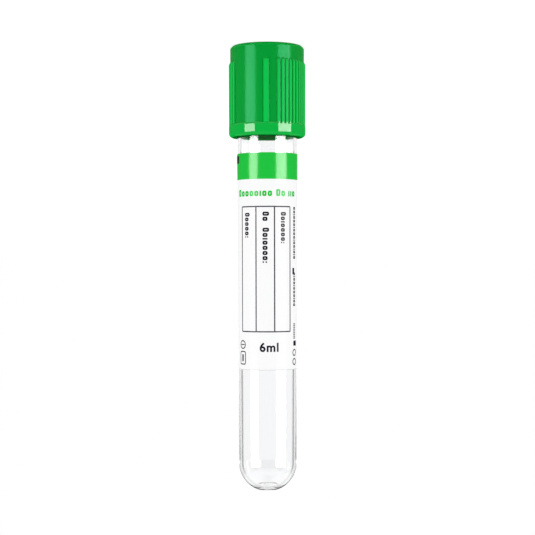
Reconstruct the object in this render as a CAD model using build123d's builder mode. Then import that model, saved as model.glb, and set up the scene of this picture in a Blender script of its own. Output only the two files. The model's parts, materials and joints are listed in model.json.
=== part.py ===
"""Clear evacuated tube with a wrap label, a rubber stopper and a ribbed pull-off safety cap.

The tube's own end is round, so it stands on its head: the flat face of the cap lies on the
ground at z = 0, the axis is Z, the round end is at the top and the print faces -Y.
Millimetres and degrees. The cap's face, ring and mouth are met in that order going up.
"""
from build123d import *
from math import atan2, cos, degrees, radians, sin, sqrt, tan
import os

# Tube
tube_length = 91.2  # open rim to the foot ring round the gate pocket
tube_wall = 0.8
tube_draft = 0.25  # the same inside and outside
dome_r = 6.4  # outside radius of the round end
dome_floor = 0.5  # plastic left between the gate pocket and the bore
pocket_r = 2.25
pocket_depth = 0.4
gate_r = 0.7
gate_height = 0.25
rim_chamfer = 0.2

# Label
label_length = 47.5
label_foot_gap = 26.8  # bare tube between the foot ring and the label
label_thickness = 0.08
label_glue = 0.02
label_window = 60.0  # bare strip where the two ends don't meet
label_edge = 88.0  # from the middle of the print to the label's nearer end

# Stopper
flange_overhang = 0.38  # past the outside of the tube's rim
flange_thickness = 2.4
flange_chamfer = 0.25
plug_length = 8.2
plug_gap = 0.5  # radial room between the plug's core and the bore
plug_lead = 0.7
bead_r = 0.7  # section radius of a sealing bead
bead_depths = (2.0, 5.2)  # into the tube from its rim
bead_clearance = 0.03  # running clearance of a sealing bead in the bore
cavity_r = 3.1  # hollow in the plug's free end
cavity_depth = 3.6
cavity_round = 1.6
target_depth = 0.7  # dished face that the needle passes through

# Cap
cap_length = 20.2
cap_face_thickness = 1.2
cap_bevel = 0.55
cap_wall = 0.69  # plain wall beside the ring
cap_flare = 0.05  # how much wider the wall is at its face
well_r = 4.4  # needle opening
well_depth = 4.6  # cap's face to the stopper
well_lead = 0.5
collar_wall = 0.9
flange_clearance = 0.05  # radial, between the flange and the cap
seat_clearance = 0.02  # axial, on both sides of the flange
latch_grip = 0.18  # how far the latch bead reaches over the flange
latch_height = 1.0
neck_room = 0.48  # from the tube's rim to the inside of the cap, past the latch bead
skirt_room = 0.68  # the same, level with the start of the ring
mouth_room = 0.83  # the same, at the mouth
mouth_height = 1.6
ring_height = 2.7
ring_overhang = 0.36  # out of the plain wall
ring_chamfer = 0.15
ring_mouth_round = 0.85

# Grip ribs: two plain zones, each with one broad rib, and two groups of fine ribs
rib_start = 3.4  # cap's face to where a rib's slope leaves the wall
rib_slope = 0.8
rib_height = 0.34  # out of the plain wall
rib_root = 0.3  # how far a rib reaches into the wall
rib_flank = 70.0
fine_rib_width = 0.72  # at the wall
fine_rib_pitch = 6.75
fine_rib_count = 16
fine_rib_azimuth = 61.25  # of a group's first rib
broad_rib_width = 1.24
broad_rib_azimuth = 1.5

# Guide ribs inside the skirt
guide_count = 6
guide_width = 0.8
guide_clearance = 0.2  # to the tube
guide_mouth_gap = 3.4
guide_lead = 1.5
guide_root = 0.2  # how far a guide rib reaches into the wall

# Heights that follow from the sizes above
rim_z = well_depth + seat_clearance + flange_thickness
foot_z = rim_z + tube_length
dome_z = foot_z - sqrt(dome_r**2 - pocket_r**2)
bore_dome_r = dome_r - tube_wall
bore_dome_z = foot_z - pocket_depth - dome_floor - bore_dome_r
latch_z = rim_z + seat_clearance
ring_z = cap_length - ring_height


def drafted_r(end_r, end_z, z):
    """Radius at a height of the drafted wall that is tangent to a round end."""
    return (end_r + (end_z - z) * sin(radians(tube_draft))) / cos(radians(tube_draft))


def outside_r(z):
    return drafted_r(dome_r, dome_z, z)


def bore_r(z):
    return drafted_r(bore_dome_r, bore_dome_z, z)


# Radii that follow
rim_r = outside_r(rim_z)
flange_r = rim_r + flange_overhang
seat_r = flange_r + flange_clearance
latch_r = flange_r - latch_grip
neck_r = rim_r + neck_room
skirt_r = rim_r + skirt_room
mouth_r = rim_r + mouth_room
wall_r = skirt_r + cap_wall
face_r = wall_r + cap_flare
ring_r = wall_r + ring_overhang
collar_r = well_r + collar_wall

print_angle = -90.0  # where azimuth 0 is; azimuths turn from +X towards +Y


def radial_plane(azimuth):
    """Plane through the axis: its x is the radius at an azimuth, its y is the height."""
    angle = radians(print_angle + azimuth)
    return Plane(origin=(0, 0, 0), x_dir=(cos(angle), sin(angle), 0), z_dir=(sin(angle), -cos(angle), 0))


# ---- Tube: drafted wall, round end with a gate pocket, chamfered rim ----
with BuildPart() as tube:
    with BuildSketch(Plane.XZ):
        with BuildLine():
            foot_angle = degrees(atan2(foot_z - dome_z, pocket_r))
            outside_dome = CenterArc((0, dome_z), dome_r, tube_draft, foot_angle - tube_draft)
            bore_dome = CenterArc((0, bore_dome_z), bore_dome_r, tube_draft, 90 - tube_draft)
            Polyline(
                outside_dome @ 0,
                (outside_r(rim_z + rim_chamfer), rim_z + rim_chamfer),
                (rim_r - rim_chamfer, rim_z),
                (bore_r(rim_z) + rim_chamfer, rim_z),
                (bore_r(rim_z + rim_chamfer), rim_z + rim_chamfer),
                bore_dome @ 0,
            )
            pocket_z = foot_z - pocket_depth
            Polyline(
                bore_dome @ 1,
                (0, pocket_z + gate_height),
                (gate_r, pocket_z + gate_height),
                (gate_r, pocket_z),
                (pocket_r, pocket_z),
                outside_dome @ 1,
            )
        make_face()
    revolve(axis=Axis.Z)
tube.part.label = "tube"

# ---- Label: one sheet wrapped round the tube, its ends short of meeting ----
with BuildPart() as label:
    with BuildSketch(radial_plane(label_edge + label_window)):
        with BuildLine():
            label_high = foot_z - label_foot_gap
            label_low = label_high - label_length
            high_r = outside_r(label_high) + label_glue
            low_r = outside_r(label_low) + label_glue
            Polyline(
                (low_r, label_low),
                (low_r + label_thickness, label_low),
                (high_r + label_thickness, label_high),
                (high_r, label_high),
                close=True,
            )
        make_face()
    revolve(axis=Axis.Z, revolution_arc=360 - label_window)
label.part.label = "label"

# ---- Stopper: flange on the rim, hollow-ended plug with sealing beads, dished target ----
with BuildPart() as stopper:
    flange_z = rim_z - flange_thickness
    plug_z = rim_z + plug_length
    cavity_z = plug_z - cavity_depth
    core_r = bore_r(rim_z) - plug_gap
    with BuildSketch(Plane.XZ):
        with BuildLine():
            cavity_corner = JernArc(
                (cavity_r - cavity_round, cavity_z), (1, 0), cavity_round, 90
            )
            Polyline(
                cavity_corner @ 1,
                (cavity_r, plug_z),
                (core_r - plug_lead, plug_z),
                (core_r, plug_z - plug_lead),
                (core_r, rim_z),
                (flange_r - flange_chamfer, rim_z),
                (flange_r, rim_z - flange_chamfer),
                (flange_r, flange_z + flange_chamfer),
                (flange_r - flange_chamfer, flange_z),
                (well_r, flange_z),
                (well_r - target_depth, flange_z + target_depth),
                (0, flange_z + target_depth),
                (0, cavity_z),
                cavity_corner @ 0,
            )
        make_face()
    revolve(axis=Axis.Z)
    with BuildSketch(Plane.XZ):
        for depth in bead_depths:
            bead_z = rim_z + depth
            with Locations((bore_r(bead_z) - bead_clearance - bead_r, bead_z)):
                Circle(bead_r)
    revolve(axis=Axis.Z)
stopper.part.label = "stopper"

# ---- Cap: face with the needle well, seat for the flange, skirt with a ring, grip ribs ----
with BuildPart() as cap:
    with BuildSketch(Plane.XZ):
        with BuildLine():
            ring_lip = JernArc(
                (ring_r, cap_length - ring_mouth_round), (0, 1), ring_mouth_round, 90
            )
            Polyline(
                ring_lip @ 1,
                (mouth_r, cap_length),
                (mouth_r, cap_length - mouth_height),
                (skirt_r, ring_z),
                (neck_r, latch_z + latch_height),
                (latch_r, latch_z),
                (seat_r, latch_z),
                (seat_r, cap_face_thickness),
                (collar_r, cap_face_thickness),
                (collar_r, well_depth),
                (well_r, well_depth),
                (well_r, well_lead),
                (well_r + well_lead, 0),
                (face_r - cap_bevel, 0),
                (face_r, cap_bevel),
                (wall_r, ring_z),
                (ring_r - ring_chamfer, ring_z),
                (ring_r, ring_z + ring_chamfer),
                ring_lip @ 0,
            )
        make_face()
    revolve(axis=Axis.Z)

    # Grip ribs slope out of the wall at their lower ends and run into the ring
    rib_section = rib_height + rib_root
    rib_centre_r = wall_r + rib_height - rib_section / 2
    rib_spread = 2 * rib_root / tan(radians(rib_flank))
    fine_range = fine_rib_count * fine_rib_pitch
    with BuildSketch(Plane.XY.offset(rib_start)):
        for turn in (print_angle, print_angle + 180):
            with PolarLocations(rib_centre_r, fine_rib_count, fine_rib_azimuth + turn, fine_range):
                Trapezoid(fine_rib_width + rib_spread, rib_section, rib_flank, rotation=-90)
            with PolarLocations(rib_centre_r, 1, broad_rib_azimuth + turn):
                Trapezoid(broad_rib_width + rib_spread, rib_section, rib_flank, rotation=-90)
    extrude(amount=ring_z + ring_chamfer - rib_start)
    with BuildSketch(Plane.XZ):
        with BuildLine():
            Polyline(
                (wall_r, rib_start),
                (wall_r + 2 * rib_height, rib_start + 2 * rib_slope),
                (wall_r + 2 * rib_height, rib_start),
                close=True,
            )
        make_face()
    revolve(axis=Axis.Z, mode=Mode.SUBTRACT)

    # Guide ribs centre the skirt on the tube
    guide_r = rim_r + guide_clearance
    guide_root_r = skirt_r + guide_root
    guide_low = latch_z + latch_height / 2
    guide_high = cap_length - guide_mouth_gap
    for number in range(guide_count):
        with BuildSketch(radial_plane(number * 360 / guide_count)):
            with BuildLine():
                Polyline(
                    (guide_root_r, guide_low),
                    (guide_root_r, guide_high),
                    (guide_r, guide_high - guide_lead),
                    (guide_r, guide_low),
                    close=True,
                )
            make_face()
        extrude(amount=guide_width / 2, both=True)
cap.part.label = "cap"

os.makedirs("parts", exist_ok=True)
for piece in (tube, label, stopper, cap):
    export_step(piece.part, f"parts/{piece.part.label}.step")

print(f"height {foot_z:.2f}, ring radius {ring_r:.4f}, rim radius {rim_r:.3f}, label from {label_low:.2f}")
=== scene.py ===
import json
from math import asin, ceil, cos, degrees, pi, radians, sin, sqrt, tan

import bmesh
import bpy
from mathutils import Matrix, Vector

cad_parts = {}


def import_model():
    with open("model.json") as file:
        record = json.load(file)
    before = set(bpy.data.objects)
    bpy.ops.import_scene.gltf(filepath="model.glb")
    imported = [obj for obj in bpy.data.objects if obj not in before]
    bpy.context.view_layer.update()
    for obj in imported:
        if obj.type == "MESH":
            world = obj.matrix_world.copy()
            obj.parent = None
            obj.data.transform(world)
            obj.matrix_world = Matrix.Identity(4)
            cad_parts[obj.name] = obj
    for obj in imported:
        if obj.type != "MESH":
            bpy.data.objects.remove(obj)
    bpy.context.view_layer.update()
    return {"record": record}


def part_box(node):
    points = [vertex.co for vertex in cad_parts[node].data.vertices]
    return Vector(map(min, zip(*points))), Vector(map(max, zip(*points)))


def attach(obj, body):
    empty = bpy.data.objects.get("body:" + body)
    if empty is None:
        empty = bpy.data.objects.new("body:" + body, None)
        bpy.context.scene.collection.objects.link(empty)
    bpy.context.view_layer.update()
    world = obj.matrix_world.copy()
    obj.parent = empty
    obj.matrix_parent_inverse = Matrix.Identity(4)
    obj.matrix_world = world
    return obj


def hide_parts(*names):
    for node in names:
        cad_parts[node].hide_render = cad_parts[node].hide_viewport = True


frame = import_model()

# Sizes are in millimetres. A station is a height on the axis from the tube's foot ring, towards
# the cap. An azimuth is in degrees from the middle of the print, to the right as it is read.
MM = 0.001
foot_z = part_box("tube")[1].z / MM
cap_top = foot_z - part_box("cap")[0].z / MM
cap_open_end = foot_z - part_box("cap")[1].z / MM
label_start = foot_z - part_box("label")[1].z / MM
label_end = foot_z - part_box("label")[0].z / MM
plug_end = foot_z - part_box("stopper")[1].z / MM
flange_top = foot_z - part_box("stopper")[0].z / MM
tube_length = foot_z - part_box("tube")[0].z / MM
flange_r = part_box("stopper")[1].x / MM
ring_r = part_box("cap")[1].x / MM
mounts = {mount["name"]: mount for mount in frame["record"]["mounts"]}
well_r = mounts["needle_well"]["dims"]["r_mm"]

# Tube
dome_r = 6.4
tube_wall = 0.8
tube_draft = 0.25  # degrees, the same inside and outside
pocket_r, pocket_depth = 2.25, 0.4
gate_r, gate_height = 0.7, 0.25
dome_floor = 0.5  # plastic left between the gate pocket and the bore
dome_s = sqrt(dome_r**2 - pocket_r**2)
bore_dome_r = dome_r - tube_wall
bore_end_s = pocket_depth + dome_floor
ridge_height = 0.025  # round the start of the bore's round end
tip_levelling = 0.1  # mm2: how gently the bore's round end turns into its level tip
ripple_height, ripple_length = 0.02, 0.8
ripple_r, ripple_fade = 3.6, 1.5  # the tip's ripple ends at a radius, and fades over a reach

# Label
label_glue, label_thickness = 0.02, 0.08
label_left = -88  # azimuth of the end at the left of the print
label_window = 60  # degrees of bare tube between its two ends
label_corner = 1.6
band_start = 68.5

# Print: it starts just above the film, so that the two don't share a face
ink_foot, ink_top = 0.004, 0.012
box_lines = (-6.46, -2.56, 1.56, 5.54)
box_low, box_high = 35.2, 62.5
box_corner = 0.32
rule = 0.27

# Print shapes, as shares of the height of a low frame
shape_widths = {"o": 0.8, "O": 0.8, "i": 0.3, ":": 0.3, " ": 0.35}
frame_heights = {"o": 1, "O": 1.3}
shape_stroke, shape_gap = 0.33, 0.22
frame_corner, hole_corner, bar_corner = 0.28, 0.06, 0.08
upper_dot = 0.6  # from the foot of a colon's lower dot to that of its upper one

# Stopper
plug_gap = 0.5  # radial room between the plug's core and the bore
bead_r, bead_clearance = 0.7, 0.03
bead_depths = (2.0, 5.2)  # into the tube from its rim
cavity_r, cavity_depth, cavity_round = 3.1, 3.6, 1.6
target_depth = 0.7

# Cap
cap_face_thickness, cap_bevel = 1.2, 0.55
cap_flare = 0.05  # how much wider the wall is at its face
well_lead = 0.5
collar_wall = 0.9
flange_clearance = 0.05  # radial, between the flange and the cap
seat_clearance = 0.02  # axial, on both sides of the flange
latch_grip, latch_height = 0.18, 1.0
neck_room, skirt_room, mouth_room = 0.48, 0.68, 0.83  # past the tube's rim
mouth_height = 1.6
ring_height, ring_overhang, ring_mouth_round = 2.7, 0.36, 0.85
wall_r = ring_r - ring_overhang
face_r = wall_r + cap_flare
ring_s = cap_open_end + ring_height

# Ribs: grip ribs outside the cap and guide ribs inside it, at azimuths
rib_start = 3.4  # cap's face to where a rib's slope leaves the wall
rib_end = cap_top - rib_start
rib_slope, rib_height = 0.8, 0.34
fine_rib_pitch, fine_rib_count = 6.75, 16
fine_ribs = [start + fine_rib_pitch * k for start in (17.5, 197.5) for k in range(fine_rib_count)]
broad_ribs = [-1.5, 178.5]
fine_rib_width, broad_rib_width = 0.72, 1.24  # at the wall
rib_kinds = ((fine_ribs, fine_rib_width), (broad_ribs, broad_rib_width))
guide_ribs = [60 * k for k in range(6)]
guide_width = 0.86
guide_clearance, guide_lead, guide_mouth_gap = 0.2, 1.5, 3.4
rib_flank, guide_flank = 0.22, 0.12
flank_foot = 0.05  # how far a flank's foot reaches past the rib's width
shade_line_gap, shade_line_reach = 0.08, 0.24  # middle of the painted shade line beside a rib, and its half width

# Studio
view_station = 49.2  # that the camera and the lamps point at
day_level, gloss_level = 1.05, 0.12  # the world as matt surfaces and as gloss see it


def place(azimuth, station, radius):
    """The point, in metres, at an azimuth, a station and a radius."""
    angle = radians(azimuth)
    return Vector((-radius * sin(angle), -radius * cos(angle), foot_z - station)) * MM


def measured(point):
    """Radius and station of a point in metres."""
    point = point / MM
    return point.xy.length, foot_z - point.z


def z_at(station):
    """Metres above the ground."""
    return (foot_z - station) * MM


def drafted_r(end_r, end_s, station):
    """Radius at a station of the drafted wall that is tangent to a round end."""
    draft = radians(tube_draft)
    return (end_r + (station - end_s) * sin(draft)) / cos(draft)


def outside_r(station):
    return drafted_r(dome_r, dome_s, station)


def bore_r(station):
    return drafted_r(bore_dome_r, dome_s, station)


def label_r(station):
    return outside_r(station) + label_glue + label_thickness


def smooth(share):
    """Eases a share from 0 to 1 at both its ends."""
    share = min(max(share, 0), 1)
    return share * share * (3 - 2 * share)


# ---- Meshes ----

def arc(centre_s, radius, start, end, count):
    """Points (radius, station) of an arc round a point of the axis. 0 degrees is square to it."""
    angles = [radians(start + (end - start) * k / count) for k in range(count + 1)]
    return [(radius * cos(angle), centre_s + radius * sin(angle)) for angle in angles]


def rounded(corners, steps=4):
    """An outline of corners (radius, station). One with a third number is rounded to that radius.

    A point close to each end of a round corner keeps the flat beside it flat.
    """
    close = 0.03
    points = []
    for k, (radius, station, *rounding) in enumerate(corners):
        corner = Vector((radius, station))
        if not rounding:
            points.append(corner)
            continue
        corner_r = rounding[0]
        back = (Vector(corners[k - 1][:2]) - corner).normalized()
        ahead = (Vector(corners[(k + 1) % len(corners)][:2]) - corner).normalized()
        half = back.angle(ahead) / 2
        centre = corner + (back + ahead).normalized() * corner_r / sin(half)
        first = corner + back * corner_r / tan(half) - centre
        last = corner + ahead * corner_r / tan(half) - centre
        bends = [first.lerp(last, n / steps).normalized() * corner_r for n in range(steps + 1)]
        points.append(centre + first + back * close)
        points += [centre + bend for bend in bends]
        points.append(centre + last + ahead * close)
    return points


def joined(mesh, here, there):
    """Joins two closed rows of as many vertices with faces."""
    for n in range(len(here)):
        after = (n + 1) % len(here)
        mesh.faces.new((here[n], here[after], there[after], there[n]))


def skin(sections, whole=True):
    """A bmesh over closed sections of as many points, all the way round or closed at two ends."""
    mesh = bmesh.new()
    rows = [[mesh.verts.new(point) for point in section] for section in sections]
    for k in range(len(rows) if whole else len(rows) - 1):
        joined(mesh, rows[k], rows[(k + 1) % len(rows)])
    if not whole:
        mesh.faces.new(rows[0])
        mesh.faces.new(rows[-1])
    return mesh


def turned(outline, segments=192):
    """A bmesh of an outline turned round the axis."""
    azimuths = [360 * k / segments for k in range(segments)]
    return skin([[place(azimuth, s, r) for r, s in outline] for azimuth in azimuths])


def finished(name, mesh, body, slot, *materials):
    """Turns a bmesh into a piece with smooth faces that rides on a body."""
    bmesh.ops.remove_doubles(mesh, verts=mesh.verts, dist=1e-7)
    bmesh.ops.recalc_face_normals(mesh, faces=mesh.faces)
    data = bpy.data.meshes.new(name)
    mesh.to_mesh(data)
    mesh.free()
    data.shade_smooth()
    data.set_sharp_from_angle(angle=radians(32))
    for material in materials:
        data.materials.append(material)
    piece = bpy.data.objects.new(name, data)
    bpy.context.scene.collection.objects.link(piece)
    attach(piece, body)
    return piece


# ---- Finishes ----

class Socket:
    """A value in a node tree. Sums of values and numbers add Math nodes."""

    def __init__(self, tree, end=None):
        self.tree, self.end = tree, end

    def node(self, kind, settings=None, inputs=None, output=0):
        """Adds a node, sets its settings and then its sockets, and gives one of its outputs."""
        made = self.tree.nodes.new("ShaderNode" + kind)
        for name, setting in (settings or {}).items():
            setattr(made, name, setting)
        for name, given in (inputs or {}).items():
            if isinstance(given, Socket):
                self.tree.links.new(given.end, made.inputs[name])
            else:
                made.inputs[name].default_value = given
        return Socket(self.tree, made.outputs[output]) if made.outputs else None

    def math(self, operation, left, right):
        return self.node("Math", {"operation": operation}, {0: left, 1: right})

    def __add__(self, other):
        return self.math("ADD", self, other)

    def __sub__(self, other):
        return self.math("SUBTRACT", self, other)

    def __rsub__(self, other):
        return self.math("SUBTRACT", other, self)

    def __mul__(self, other):
        return self.math("MULTIPLY", self, other)

    __radd__ = __add__
    __rmul__ = __mul__

    def most(self, other):
        return self.math("MAXIMUM", self, other)

    def least(self, other):
        return self.math("MINIMUM", self, other)

    def eased(self, low, high, to_low=0.0, to_high=1.0):
        """Eases from one value to another while this one goes from low to high."""
        limits = {1: low, 2: high, 3: to_low, 4: to_high}
        return self.node("MapRange", {"interpolation_type": "SMOOTHSTEP"}, {0: self, **limits})

    def mixed(self, clear, full):
        """A colour: clear where this value is 0, full where it is 1."""
        clear, full = [end if isinstance(end, Socket) else (*end, 1) for end in (clear, full)]
        return self.node("Mix", {"data_type": "RGBA"}, {0: self, 6: clear, 7: full}, output=2)

    def point(self):
        """Where the surface is, in metres, fixed to the piece."""
        return self.node("TexCoord", output="Object")

    def noise(self, size, detail=2, stretch=(1, 1, 1)):
        """Noise from 0 to 1 with features of about that many millimetres."""
        point = self.node("Mapping", {}, {"Vector": self.point(), "Scale": stretch})
        inputs = {"Vector": point, "Scale": 1 / (size * MM), "Detail": detail}
        return self.node("TexNoise", {}, inputs)

    def along(self, axis):
        """Metres along X, Y or Z."""
        return self.node("SeparateXYZ", {}, {"Vector": self.point()}, output=axis)

    def off_axis(self):
        """Metres from the axis."""
        flat = self.node("VectorMath", {"operation": "MULTIPLY"}, {0: self.point(), 1: (1, 1, 0)})
        return self.node("VectorMath", {"operation": "LENGTH"}, {0: flat}, output="Value")

    def slant(self):
        """0 where the surface faces the viewer, 1 at its outline, for gloss and clear plastic."""
        return self.node("LayerWeight", {}, {"Blend": 0.5}, output="Facing")

    def ray(self, kind):
        """1 for a ray of that kind, 0 for any other."""
        return self.node("LightPath", output=f"Is {kind} Ray")

    def bump(self, relief, depth):
        """A normal for a relief from 0 to 1 that is that many millimetres deep."""
        return self.node("Bump", {}, {"Distance": depth * MM, "Height": relief}, output="Normal")


def emptied(made):
    """The empty node tree of a material or a world."""
    made.use_nodes = True
    made.node_tree.nodes.clear()
    return Socket(made.node_tree)


def finish(name, recipe):
    """A material whose Principled shader gets the sockets that the recipe gives."""
    made = bpy.data.materials.new(name)
    shade = emptied(made)
    surface = shade.node("BsdfPrincipled", {}, recipe(shade))
    shade.node("OutputMaterial", {}, {"Surface": surface})
    return made


dark_green, light_green = (0.0, 0.27, 0.022), (0.0, 0.56, 0.068)
print_greens = (0.002, 0.53, 0.035), (0.004, 0.6, 0.05)
film_whites = (0.945, 0.945, 0.955), (0.965, 0.965, 0.97)
polyester_index = 1.57


def gloss_fade(shade):
    """Rises to 1 just short of the outline, where the gloss of moulded plastic dies away."""
    return shade.slant().eased(0.65, 0.85)


def moulded_green(shade, tone, grain, gloss, rough=0.2):
    """Moulded green plastic, dark where the tone is 0 and light where it is 1."""
    return {
        "Base Color": tone.mixed(dark_green, light_green),
        "Roughness": tone * 0.03 + gloss_fade(shade) * 0.6 + rough,
        "Specular IOR Level": gloss,
        "Specular Tint": (0.25, 1.0, 0.72, 1),
        "Normal": shade.bump(grain, 0.006),
    }


def cap_plastic(shade):
    """Semi-gloss moulded green, lighter on the ribs, with painted shade between them and painted
    light at the face's rim.
    """
    rib = shade.off_axis().eased((wall_r + 0.08) * MM, (wall_r + 0.28) * MM)
    # Painted light: the rim by the cap's face is made lighter, against the shade where the face
    # meets the ground.
    rim = shade.along("Z").eased(z_at(cap_top - 0.4), z_at(cap_top - 0.9), 0.35, 0.0)
    # Painted shade: a darker line beside each grip rib, read from the mesh attribute that cap()
    # fills.
    groove = shade.node("Attribute", {"attribute_name": "groove"}, output="Fac")
    cloud = shade.noise(4.0, stretch=(1, 1, 0.4))
    grain = shade.noise(0.16, detail=3)
    tone = rib * 0.72 + cloud * 0.12 + grain * 0.08 - groove * 0.24 + rim + 0.14
    return moulded_green(shade, tone, grain, gloss=0.24, rough=rib * 0.2 + 0.2)


def ring_plastic(shade):
    """The same plastic, polished, though less on the round lip of its mouth."""
    lip = shade.along("Z").eased(z_at(cap_open_end + 0.75), z_at(cap_open_end + 0.4))
    polish = (0.78 - lip * 0.55) * (1 - gloss_fade(shade))
    cloud = shade.noise(4.0, stretch=(1, 1, 0.4))
    grain = shade.noise(0.16, detail=3)
    surface = moulded_green(shade, cloud * 0.12 + grain * 0.08 + 0.56, grain, gloss=0.0)
    return {**surface, "Coat Weight": polish, "Coat Roughness": 0.04, "Coat IOR": 1.55}


def cap_inside(shade):
    """The same plastic inside the cap, where some light comes through its wall."""
    cloud = shade.noise(4.0)
    grain = shade.noise(0.16, detail=3)
    return {
        # Painted light: the tone is lighter than the outer wall's, to lift the shade inside the
        # cap; the light through the wall is real subsurface light.
        **moulded_green(shade, cloud * 0.1 + 0.4, grain, gloss=0.2),
        "Subsurface Weight": 0.6,
        "Subsurface Radius": (0.2, 1, 0.4),
        "Subsurface Scale": 1.5 * MM,
    }


def clear_plastic(shade):
    """Clear moulded polyester, with faint flow lines.

    A painted shade line darkens it where the surface slants at the edge of the bore, in place of
    the dark edge that the bore shows through the wall. The line is weaker in the round end and
    past the label.
    """
    slant = shade.slant()
    painted_bore_line = slant.eased(0.45, 0.5) - slant.eased(0.54, 0.6)
    round_end = shade.along("Z").eased(z_at(5.6), z_at(3.4), 0.97, 0.3)
    past_label = shade.along("Z").eased(z_at(label_end + 1), z_at(label_end), 0.45, 1.0)
    flow = shade.noise(2.5, stretch=(1, 1, 0.08))
    # shadow holds the painted shade line and the real faint flow lines.
    shadow = painted_bore_line * round_end * past_label + flow * 0.03
    return {
        "Base Color": shadow.mixed((0.99, 0.995, 1.0), (0.2, 0.2, 0.21)),
        "Roughness": flow * 0.02,
        "Transmission Weight": 1.0,
        "IOR": polyester_index,
        "Normal": shade.bump(flow, 0.002),
    }


def clear_bore(shade):
    """The inside of the clear plastic, with the fine haze of a dried additive."""
    haze = shade.noise(0.3, detail=4)
    return {
        "Base Color": haze.mixed((0.97, 0.975, 0.98), (1.0, 1.0, 1.0)),
        "Roughness": haze.eased(0.5, 0.8, 0.0, 0.05),
        "Transmission Weight": 1.0,
        "IOR": polyester_index,
    }


def film(shade, dark, light, gloss):
    """Label film or print on it: smooth and a little wavy."""
    wave = shade.noise(5.0)
    grain = shade.noise(0.12, detail=3)
    return {
        "Base Color": (wave * 0.5 + grain * 0.5).mixed(dark, light),
        "Roughness": grain.eased(0.3, 0.7, 0.17, 0.21),
        "Specular IOR Level": gloss,
        "Normal": shade.bump(wave + grain * 0.1, 0.01),
    }


def white_film(shade):
    """White film, a little grey along its cut edge at the foot of the tube."""
    surface = film(shade, *film_whites, gloss=0.03)
    cut = shade.along("Z").eased(z_at(label_start + 0.16), z_at(label_start + 0.08))
    return {**surface, "Base Color": cut.mixed(surface["Base Color"], (0.7, 0.7, 0.71))}


def film_back(shade):
    """The film's back, where light comes through the film."""
    return {
        **film(shade, *film_whites, gloss=0.03),
        "Subsurface Weight": 1.0,
        "Subsurface Radius": (1, 1, 1),
        "Subsurface Scale": 1.0 * MM,
    }


def green_band(shade):
    return film(shade, *print_greens, gloss=0.44)


def green_ink(shade):
    return film(shade, *print_greens, gloss=0.2)


def dark_ink(shade):
    return film(shade, (0.006, 0.006, 0.014), (0.018, 0.018, 0.034), gloss=0.06)


def line_ink(shade):
    return film(shade, (0.04, 0.04, 0.055), (0.07, 0.07, 0.09), gloss=0.06)


def rubber(shade):
    """Dull dark grey moulded rubber."""
    bloom = shade.noise(1.5)
    grain = shade.noise(0.1, detail=4)
    return {
        "Base Color": bloom.mixed((0.018, 0.018, 0.02), (0.032, 0.032, 0.035)),
        "Roughness": bloom.eased(0.3, 0.7, 0.55, 0.7),
        "Normal": shade.bump(grain, 0.015),
    }


# ---- Tube: drafted wall, round end with a gate pocket, open rim ----

def bore_end():
    """The bore's round end: a faint ridge where it starts, and a tip that is level over the gate
    pocket and faintly rippled.
    """
    ridge = ((0.5, 0), (0.3, ridge_height), (0.1, 0))
    points = [(bore_r(dome_s + reach) - proud, dome_s + reach) for reach, proud in ridge]
    for radius, station in arc(dome_s, bore_dome_r, -tube_draft, -90, 90):
        above = station - bore_end_s
        level = bore_end_s + (above + sqrt(above**2 + tip_levelling)) / 2
        wave = ripple_height * sin(2 * pi * radius / ripple_length)
        points.append((radius, level + wave * smooth((ripple_r - radius) / ripple_fade)))
    return points


def tube():
    foot_angle = degrees(asin(pocket_r / dome_r)) - 90
    ring_span = 4  # degrees of the dome that are left to the foot ring's round corner
    straight_rows = (30, 60)
    gate_s = pocket_depth - gate_height
    dome_start = (pocket_r + 0.35, 0.14)  # only shows the foot ring's corner which way to turn
    foot = rounded([
        (0, gate_s),
        (gate_r, gate_s, 0.06),
        (gate_r, pocket_depth, 0.04),
        (pocket_r, pocket_depth, 0.1),
        (pocket_r, 0, 0.12),
        dome_start,
    ])[:-1]
    rim_r, rim_bore_r = outside_r(tube_length), bore_r(tube_length)
    rim = rounded([
        (rim_r, tube_length - 1),
        (rim_r, tube_length, 0.25),
        (rim_bore_r, tube_length, 0.2),
        (rim_bore_r, tube_length - 1),
    ])
    outline = (
        foot
        + arc(dome_s, dome_r, foot_angle + ring_span, -tube_draft, 40)
        + [(outside_r(s), s) for s in straight_rows]
        + rim
        + [(bore_r(s), s) for s in reversed(straight_rows)]
        + bore_end()
    )
    mesh = turned(outline)
    for face in mesh.faces:
        radius, station = measured(face.calc_center_median())
        from_middle = Vector((radius, min(station - dome_s, 0))).length
        in_bore = from_middle < outside_r(max(station, dome_s)) - tube_wall / 2
        face.material_index = int(in_bore and station > pocket_depth + dome_floor / 2)
    piece = finished(
        "tube_body", mesh, "tube", "clear_plastic",
        finish("clear_plastic", clear_plastic), finish("clear_bore", clear_bore),
    )
    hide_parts("tube")


# ---- Label: a film with round corners, its ends short of meeting, and its print ----

def label_section(azimuth, end_gap):
    """The film's section at an azimuth that is end_gap millimetres from its nearer end."""
    inset = 0
    if end_gap < label_corner:
        inset = label_corner - sqrt(label_corner**2 - (label_corner - end_gap) ** 2)
    low, high = label_start + inset, label_end - inset
    close = 0.05  # a row close to each edge keeps the film flat up to it
    stations = [low, low + close, 40, 54, band_start, high - close, high]
    front = [place(azimuth, s, label_r(s)) for s in stations]
    back = [place(azimuth, s, label_r(s) - label_thickness) for s in reversed(stations)]
    return front + back


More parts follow.
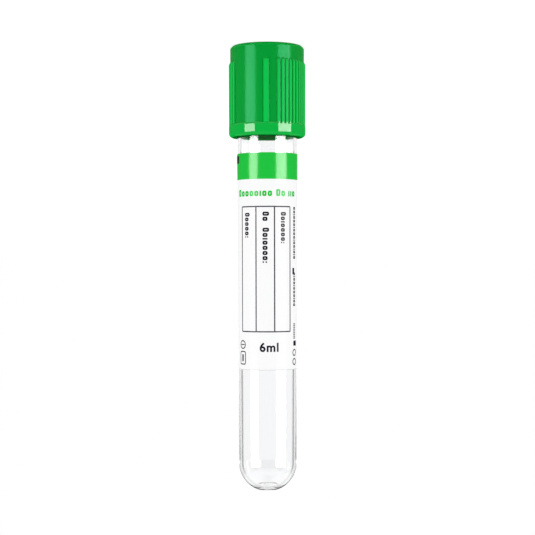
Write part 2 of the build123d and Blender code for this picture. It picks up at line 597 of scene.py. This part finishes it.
def label():
    span = 360 - label_window
    middle_r = label_r((label_start + label_end) / 2)
    corner_span = degrees(label_corner / middle_r)
    near = [corner_span * (k / 8) ** 2 for k in range(9)]
    across = [corner_span + (span - 2 * corner_span) * k / 150 for k in range(1, 150)]
    turns = near + across + [span - turn for turn in reversed(near)]
    end_gaps = [radians(min(turn, span - turn)) * middle_r for turn in turns]
    sections = [label_section(label_left + turn, gap) for turn, gap in zip(turns, end_gaps)]
    mesh = skin(sections, whole=False)
    film_side, band_side, back_side = range(3)
    for face in mesh.faces:
        radius, station = measured(face.calc_center_median())
        front = band_side if station > band_start else film_side
        outside = radius > label_r(station) - label_thickness / 2
        face.material_index = front if outside else back_side
    piece = finished(
        "label_sheet", mesh, "tube", "label_film",
        finish("label_film", white_film), finish("band_ink", green_band),
        finish("label_back", film_back),
    )
    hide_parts("label")


def wrapped(name, mesh, material):
    """Wraps flat print on the label: x is millimetres across, y the station, z how far proud."""
    step = 0.4
    cuts = ceil(max(abs(vertex.co.x) for vertex in mesh.verts) / step)
    for k in range(-cuts, cuts + 1):
        everything = mesh.verts[:] + mesh.edges[:] + mesh.faces[:]
        plane = {"plane_co": (k * step, 0, 0), "plane_no": (1, 0, 0)}
        bmesh.ops.bisect_plane(mesh, geom=everything, dist=1e-5, **plane)
    bmesh.ops.triangulate(mesh, faces=mesh.faces)
    for vertex in mesh.verts:
        across, station, proud = vertex.co
        radius = label_r(station)
        vertex.co = place(degrees(across / radius), station, radius + proud)
    finished(name, mesh, "tube", "label_film", material)


def strip(mesh, outer, inner):
    """A closed strip of ink between two loops with as many points each."""
    corners = ((outer, ink_foot), (outer, ink_top), (inner, ink_top), (inner, ink_foot))
    rings = [[mesh.verts.new((x, y, z)) for x, y in loop] for loop, z in corners]
    for k, ring in enumerate(rings):
        joined(mesh, ring, rings[(k + 1) % 4])


def patch(mesh, loop):
    """A closed flat patch of ink inside a loop."""
    low, high = [[mesh.verts.new((x, y, z)) for x, y in loop] for z in (ink_foot, ink_top)]
    mesh.faces.new(low)
    mesh.faces.new(high)
    joined(mesh, low, high)


def box_loop(left, right, low, high, corner=0.0, steps=5):
    """A rectangle, with round corners if a radius is given."""
    centres = [(right - corner, high - corner), (left + corner, high - corner),
               (left + corner, low + corner), (right - corner, low + corner)]
    if not corner:
        return centres
    loop = []
    for k, (x, y) in enumerate(centres):
        angles = [radians(90 * (k + n / steps)) for n in range(steps + 1)]
        loop += [(x + corner * cos(angle), y + corner * sin(angle)) for angle in angles]
    return loop


def circle(x, y, radius, count=28):
    angles = [2 * pi * k / count for k in range(count)]
    return [(x + radius * cos(angle), y + radius * sin(angle)) for angle in angles]


def ruled_box():
    """The box round three columns, in thin rules."""
    mesh = bmesh.new()
    left, *dividers, right = box_lines
    half = rule / 2
    outer = box_loop(left - half, right + half, box_low - half, box_high + half, box_corner)
    inner = box_loop(left + half, right - half, box_low + half, box_high - half, box_corner - rule)
    strip(mesh, outer, inner)
    for x in dividers:
        patch(mesh, box_loop(x - half, x + half, box_low + half, box_high - half))
    wrapped("ruled_box", mesh, finish("line_ink", line_ink))


def shapes(mesh, across, along, pattern, size, down=True):
    """Plain shapes in place of words: o and O are low and tall frames, i a bar, a colon two dots.

    across and along are where the first shape starts, and size is a low frame's height. The
    shapes follow each other down the label or, if not, round it.
    """
    stroke = shape_stroke * size

    def box(start, end, foot, head, corner):
        corner *= size
        if down:
            return box_loop(across + foot, across + head, along - end, along - start, corner, 3)
        return box_loop(across + start, across + end, along + foot, along + head, corner, 3)

    for kind in pattern:
        width = shape_widths[kind] * size
        if kind in "oO":
            tall = frame_heights[kind] * size
            hole = box(stroke, width - stroke, stroke, tall - stroke, hole_corner)
            strip(mesh, box(0, width, 0, tall, frame_corner), hole)
        elif kind == "i":
            patch(mesh, box(0, width, 0, size, bar_corner))
        elif kind == ":":
            for foot in (0, upper_dot * size):
                patch(mesh, box(0, width, foot, foot + width, bar_corner))
        step = width + shape_gap * size
        along, across = (along - step, across) if down else (along, across + step)


def headings():
    """Plain shapes at the head of each column."""
    mesh = bmesh.new()
    shapes(mesh, -5.45, 61.15, "Ooooo:", 1.0)
    shapes(mesh, -1.08, 61.35, "Oo  Ooioooo:", 1.1)
    shapes(mesh, 3.05, 61.3, "Ooioooo:", 0.98)
    wrapped("headings", mesh, finish("dark_ink", dark_ink))


def additive_line():
    """A line of plain shapes across the label, between the box and the band."""
    mesh = bmesh.new()
    shapes(mesh, -7.75, 64.75, "Oooooioo Oo iio", 1.18, down=False)
    wrapped("additive_line", mesh, finish("line_green", green_ink))


def side_marks():
    """Small plain shapes on both sides of the box, and the dark block at the band's end."""
    mesh = bmesh.new()
    for start, pattern, size in (
        (62.5, "ooioooioooiooioio", 0.78),
        (48.1, "oiooioooioo", 0.78),
        (36.9, "iiiiiiiii", 0.75),
    ):
        shapes(mesh, 6.75, start, pattern, size)
    for station in (30.5, 28.5):
        strip(mesh, circle(7.2, station, 0.78), circle(7.2, station, 0.53))
    strip(mesh, circle(-6.35, 32.3, 0.97), circle(-6.35, 32.3, 0.73))
    strip(mesh, box_loop(-7.35, -5.35, 27.9, 30.9, 0.5), box_loop(-7.12, -5.58, 28.13, 30.67, 0.3))
    for bar in (
        (6.4, 7.1, 47.7, 49.1, 0.05),
        (6.75, 8.0, 32.0, 33.1, 0.1),
        (-6.95, -5.75, 32.2, 32.4),
        (-6.6, -6.1, 28.6, 30.2, 0.2),
        (-9.7, -7.85, 72.1, 73.8, 0.2),
    ):
        patch(mesh, box_loop(*bar))
    wrapped("side_marks", mesh, finish("mark_ink", dark_ink))


def volume_mark():
    """A plain 6 ml, from Blender's own font."""
    half_thickness = 0.006
    curve = bpy.data.curves.new("volume_mark", "FONT")
    curve.body = "6ml"
    curve.size = 2.66
    curve.offset = 0.085
    curve.space_character = 1.13
    curve.align_x = "CENTER"
    curve.extrude = half_thickness
    text = bpy.data.objects.new("volume_text", curve)
    bpy.context.scene.collection.objects.link(text)
    bpy.context.view_layer.update()
    settled = text.evaluated_get(bpy.context.evaluated_depsgraph_get())
    flat = bpy.data.meshes.new_from_object(settled)
    bpy.data.objects.remove(text)
    mesh = bmesh.new()
    mesh.from_mesh(flat)
    bmesh.ops.translate(mesh, verts=mesh.verts, vec=(0.37, 30.9, ink_foot + half_thickness))
    wrapped("volume_mark", mesh, finish("volume_ink", dark_ink))


# ---- Stopper: flange, plug with two beads, hollow end, dished target ----

def bead(core_r, depth):
    """The outline of a sealing bead on the plug, at a depth in the tube."""
    station = tube_length - depth
    centre_r = bore_r(station) - bead_clearance - bead_r
    start = asin(sqrt(bead_r**2 - (core_r - centre_r) ** 2) / bead_r)
    angles = [start * (1 - k / 6) for k in range(13)]
    return [(centre_r + bead_r * cos(angle), station + bead_r * sin(angle)) for angle in angles]


def stopper():
    core_r = bore_r(tube_length) - plug_gap
    target_s, cavity_s = flange_top - target_depth, plug_end + cavity_depth
    outline = [(0, target_s), (well_r - target_depth, target_s)]
    outline += rounded([
        (well_r, flange_top),
        (flange_r, flange_top, 0.3),
        (flange_r, tube_length, 0.25),
        (core_r, tube_length),
    ])
    for depth in bead_depths:
        outline += bead(core_r, depth)
    outline += rounded([
        (core_r, plug_end + 1.2),
        (core_r, plug_end, 0.6),
        (cavity_r, plug_end, 0.2),
        (cavity_r, cavity_s, cavity_round),
        (0, cavity_s),
    ])
    material = finish("stopper_rubber", rubber)
    piece = finished("stopper_body", turned(outline, 96), "stopper", "stopper_rubber", material)
    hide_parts("stopper")


# ---- Cap: needle well, skirt, ring at the mouth, grip ribs ----

def off(azimuth, centre):
    """Millimetres at the wall from a centre line to an azimuth."""
    return radians(abs((azimuth - centre + 180) % 360 - 180)) * wall_r


def rise(azimuth, centres, width, flank):
    """How far the nearest of some ribs stands out, from 0 to 1."""
    near = min(off(azimuth, centre) for centre in centres)
    return smooth((width / 2 + flank_foot - near) / flank)


def grip_rise(azimuth):
    return max(rise(azimuth, centres, width, rib_flank) for centres, width in rib_kinds)


def guide_rise(azimuth):
    return rise(azimuth, guide_ribs, guide_width, guide_flank)


def painted_shade_at(azimuth):
    """How close the line of painted shade beside a grip rib is, from 0 to 1."""
    shade_lines = [
        (centre, width / 2 + shade_line_gap) for centres, width in rib_kinds for centre in centres
    ]
    away = min(abs(off(azimuth, centre) - distance) for centre, distance in shade_lines)
    return smooth(1 - away / shade_line_reach)


def cap_columns():
    """Azimuths of the cap's columns: close together over each rib's flanks."""
    flank_steps = (-0.19, -0.14, -0.09, -0.05, 0, 0.05, 0.11, 0.2, 0.33)
    widest = 2.2  # degrees
    turns = {round(centre, 3) for centre in fine_ribs + broad_ribs}
    for centres, width in (*rib_kinds, (guide_ribs, guide_width)):
        for centre in centres:
            for step in flank_steps:
                shift = degrees((width / 2 + step) / wall_r)
                turns |= {round((centre + shift) % 360, 3), round((centre - shift) % 360, 3)}
    ordered = sorted(turns)
    columns = []
    for start, end in zip(ordered, ordered[1:] + [ordered[0] + 360]):
        count = ceil((end - start) / widest)
        columns += [start + (end - start) * k / count for k in range(count)]
    return columns


def wall(station):
    """Radius of the cap's wall, which flares towards its face."""
    return wall_r + cap_flare * (station - ring_s) / (cap_top - ring_s)


def cap():
    rim_r = outside_r(tube_length)
    neck_r, skirt_r, mouth_r = rim_r + neck_room, rim_r + skirt_room, rim_r + mouth_room
    guide_r = rim_r + guide_clearance
    seat_r, latch_r = flange_r + flange_clearance, flange_r - latch_grip
    collar_r = well_r + collar_wall
    seat_s, latch_s = flange_top + seat_clearance, tube_length - seat_clearance
    inner_face_s = cap_top - cap_face_thickness
    guide_start, guide_end = cap_open_end + guide_mouth_gap, latch_s - latch_height / 2
    guide_middle = 86
    rib_root = 0.17  # how far the grip ribs run into the ring's round edge
    polish_end = ring_s + 0.13  # just past the ring's edge, at the foot of the wall
    margin = 0.1  # from the ends of the ribs' slope to the rows beyond them
    close = 0.05  # from the guide ribs' square ends to the rows beside them

    slope_rows = [rib_end + margin - (rib_slope + 2 * margin) * k / 6 for k in range(7)]
    wall_rows = slope_rows + [ring_s + above for above in (9, 6, 3)]
    lead_rows = [guide_start, guide_start + guide_lead / 2, guide_start + guide_lead]
    guide_rows = lead_rows + [guide_middle, guide_end - close, guide_end + close]
    outline = rounded([
        (well_r, seat_s, 0.1),
        (well_r, cap_top - well_lead, 0.1),
        (well_r + well_lead, cap_top, 0.12),
        (face_r - cap_bevel, cap_top, 0.25),
        (face_r, cap_top - cap_bevel, 0.25),
        *[(wall(s), s) for s in wall_rows],
        (wall(ring_s), ring_s, 0.12),
        (ring_r, ring_s, 0.32),
        (ring_r, cap_open_end, ring_mouth_round),
        (mouth_r, cap_open_end, 0.12),
        (mouth_r, cap_open_end + mouth_height),
        (skirt_r, ring_s),
        *[(skirt_r, s) for s in guide_rows],
        (neck_r, latch_s - latch_height),
        (latch_r, latch_s, 0.05),
        (seat_r, latch_s),
        (seat_r, inner_face_s, 0.2),
        (collar_r, inner_face_s, 0.2),
        (collar_r, seat_s, 0.1),
    ])

    def ribbed(radius, station, azimuth):
        """Radius of a point of the outline at an azimuth, on a rib or beside it."""
        on_wall, on_skirt = radius > wall_r - margin, abs(radius - skirt_r) < 0.01
        if on_wall and ring_s - rib_root < station < rib_end + 2 * margin:
            slope = smooth((rib_end - station) / rib_slope)
            return max(radius, wall(station) + rib_height * grip_rise(azimuth) * slope)
        if on_skirt and guide_start < station < guide_end:
            lead = min((station - guide_start) / guide_lead, 1)
            return radius - (radius - guide_r) * guide_rise(azimuth) * lead
        return radius

    columns = cap_columns()
    mesh = skin([
        [place(azimuth, s, ribbed(r, s, azimuth)) for r, s in outline] for azimuth in columns
    ])
    # Painted shade: a darker line beside each grip rib, kept on the mesh for the cap's finish.
    layer = mesh.verts.layers.float.new("groove")
    for number, vertex in enumerate(mesh.verts):
        radius, station = measured(vertex.co)
        if radius > wall_r - margin and ring_s < station < rib_end:
            vertex[layer] = painted_shade_at(columns[number // len(outline)])
    wall_side, ring_side, inner_side = range(3)
    for face in mesh.faces:
        radius, station = measured(face.calc_center_median())
        outer = ring_side if station < polish_end else wall_side
        face.material_index = outer if radius > mouth_r else inner_side
    piece = finished(
        "cap_body", mesh, "cap", "cap_plastic",
        finish("cap_plastic", cap_plastic), finish("cap_ring_plastic", ring_plastic),
        finish("cap_inside", cap_inside),
    )
    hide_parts("cap")


# ---- Studio ----

def camera():
    """Level and square to the axis, turned so that the print reads with the cap at the top."""
    data = bpy.data.cameras.new("camera")
    data.sensor_width = 36
    data.lens = 96.9
    eye = bpy.data.objects.new("camera", data)
    right, up, back = Vector((-1, 0, 0)), Vector((0, 0, -1)), Vector((0, -1, 0))
    distance, lean = 0.320, radians(-0.12)
    turn = Matrix((right, up, back)).transposed() @ Matrix.Rotation(lean, 3, "Z")
    spot = place(0, view_station, 0) + back * distance
    eye.matrix_world = Matrix.Translation(spot) @ turn.to_4x4()
    bpy.context.scene.collection.objects.link(eye)
    bpy.context.scene.camera = eye


def softbox(name, azimuth, radiance, width, height, distance=1.0, elevation=0):
    """A flat lamp, in metres, that shines on the middle of the tube from an azimuth and elevation.

    It shows in gloss only, so that the diffuse light stays even.
    """
    data = bpy.data.lights.new(name, "AREA")
    data.shape = "RECTANGLE"
    data.size, data.size_y = width, height
    data.energy = 4 * radiance * width * height  # in watts
    lamp = bpy.data.objects.new(name, data)
    around, above = radians(azimuth), radians(elevation)
    aim = Vector((sin(around) * cos(above), cos(around) * cos(above), -sin(above)))
    lamp.location = place(0, view_station, 0) - aim * distance
    lamp.rotation_euler = aim.to_track_quat("-Z", "Y").to_euler()
    lamp.visible_diffuse = False
    lamp.visible_transmission = False
    lamp.visible_camera = False
    bpy.context.scene.collection.objects.link(lamp)


def floor_paper():
    """Pale paper under the tube's soft shadow, lifted to white for the camera.

    Reflections meet a mirror in its place, which shows them the world's even light and no horizon.
    So do rays that are reflected inside the tube and come out in front of it.
    """
    made = bpy.data.materials.new("floor_paper")
    shade = emptied(made)
    paper = shade.node("BsdfDiffuse", {}, {"Color": (0.94, 0.94, 0.94, 1)})
    white = shade.node("Emission", {}, {"Color": (1, 1, 1, 1), "Strength": 1.2})
    mirror = shade.node("BsdfAnisotropic", {}, {"Color": (1, 1, 1, 1), "Roughness": 0.0})
    through = shade.ray("Transmission")
    seen = shade.ray("Camera").most(through)
    from_gloss = through * shade.node("LightPath", output="Glossy Depth").least(1)
    in_front = shade.along("Y").eased(-0.03, 0.0, 1, 0)
    mirrored = (shade.ray("Glossy") - through).most(from_gloss * in_front)
    surface = shade.node("MixShader", {}, {0: seen * 0.65, 1: paper, 2: white})
    surface = shade.node("MixShader", {}, {0: mirrored, 1: surface, 2: mirror})
    shade.node("OutputMaterial", {}, {"Surface": surface})
    return made


def floor():
    reach = 3.0
    corners = [(-reach, -reach, 0), (reach, -reach, 0), (reach, reach, 0), (-reach, reach, 0)]
    data = bpy.data.meshes.new("floor")
    data.from_pydata(corners, [], [(0, 1, 2, 3)])
    data.materials.append(floor_paper())
    ground = bpy.data.objects.new("floor", data)
    bpy.context.scene.collection.objects.link(ground)


def world():
    """Even pale light, dim in gloss, and white to the camera, straight or through the tube."""
    made = bpy.data.worlds.new("studio")
    shade = emptied(made)
    white = shade.ray("Camera").most(shade.ray("Transmission"))
    light = day_level - shade.ray("Glossy") * (day_level - gloss_level)
    level = white + (1 - white) * light
    sky = shade.node("Background", {}, {"Color": (1, 1, 1, 1), "Strength": level})
    shade.node("OutputWorld", {}, {"Surface": sky})
    bpy.context.scene.world = made


tube()
label()
ruled_box()
headings()
additive_line()
side_marks()
volume_mark()
stopper()
cap()
floor()
world()
softbox("softbox_left", -54, radiance=7.8, width=0.6, height=0.6)
softbox("softbox_right", 55, radiance=8.8, width=0.78, height=0.6)
softbox("softbox_back", 180, radiance=1.0, width=1.0, height=0.4)
softbox("softbox_top", 0, radiance=0.6, width=2.4, height=2.4, distance=0.8, elevation=90)
camera()
bpy.context.scene.view_settings.view_transform = "Standard"
